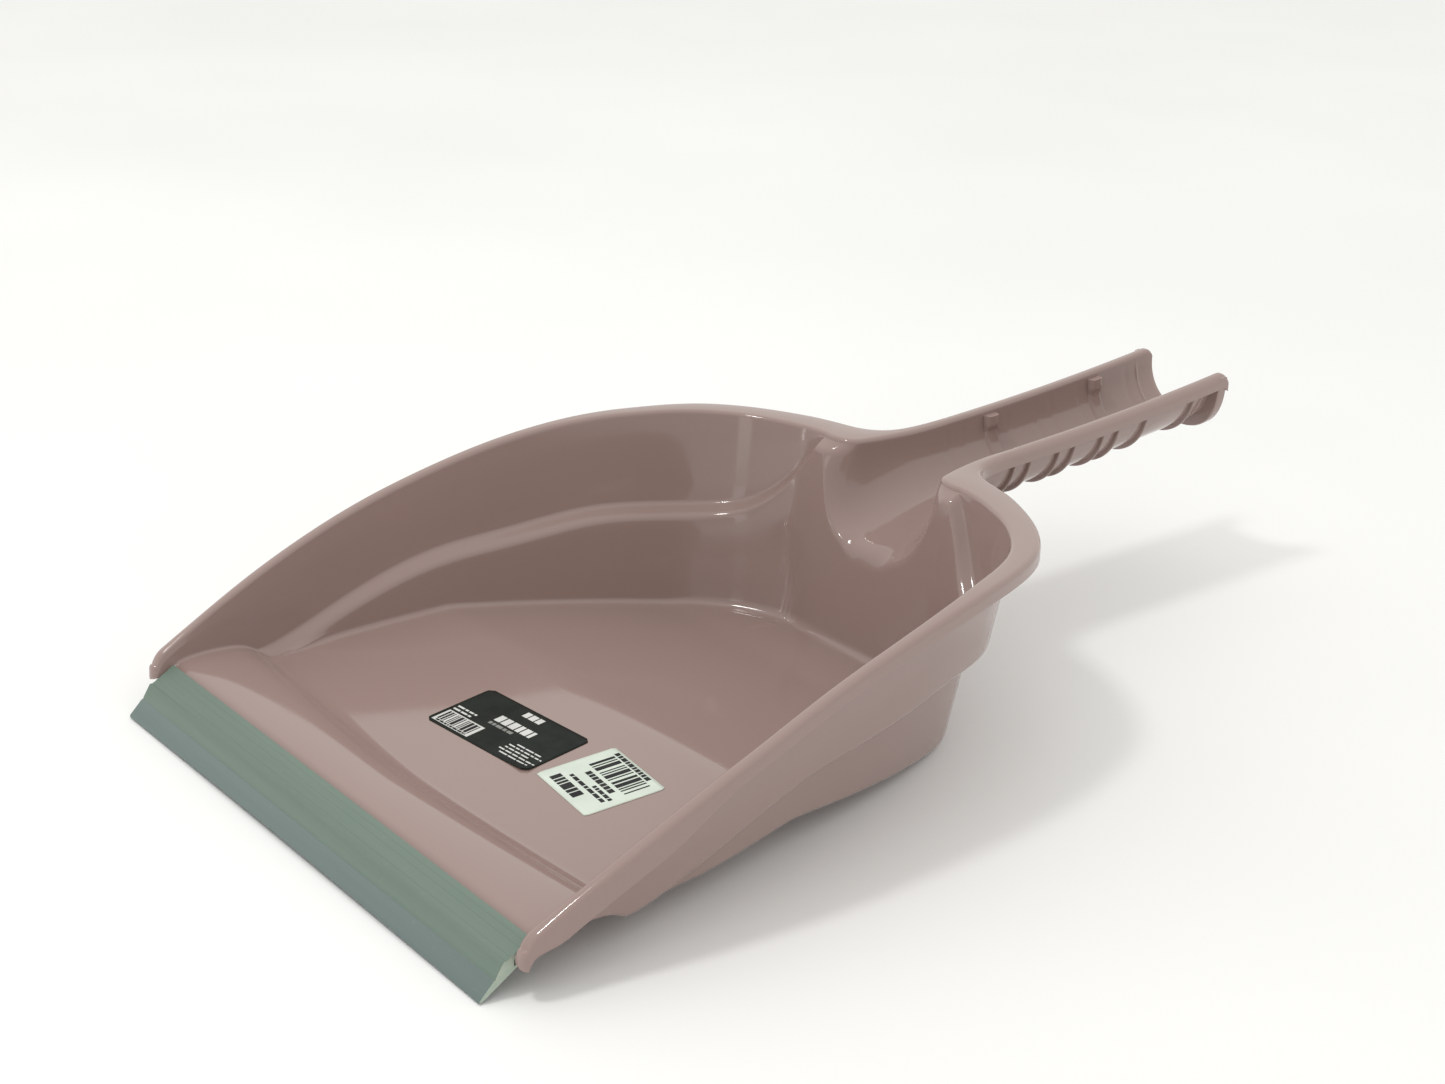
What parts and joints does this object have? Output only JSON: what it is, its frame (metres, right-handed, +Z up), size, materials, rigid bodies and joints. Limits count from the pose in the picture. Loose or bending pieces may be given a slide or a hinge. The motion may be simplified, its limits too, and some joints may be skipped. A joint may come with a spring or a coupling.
{
  "type": "dustpan",
  "caption": "Deep dustpan with a high curved rim, a stepped bowl, a half-tube ribbed grip and a rubber lip across the front.",
  "frame": {"origin": "on the ground under the middle of the bounding box", "axes": "+Y from the lip to the end of the grip, +Z up, +X to the right when looking from the lip to the grip"},
  "size_m": [0.2394, 0.4152, 0.0831],
  "materials": {
    "pan_plastic": "glossy moulded polypropylene, dusty pink",
    "lip_rubber": "satin, grey green",
    "product_label_film": null,
    "price_label_film": null
  },
  "bodies": {
    "root": {"pan": "pan_plastic", "rubber_lip": "lip_rubber", "product_label": "product_label_film", "price_label": "price_label_film"}
  },
  "joints": []
}
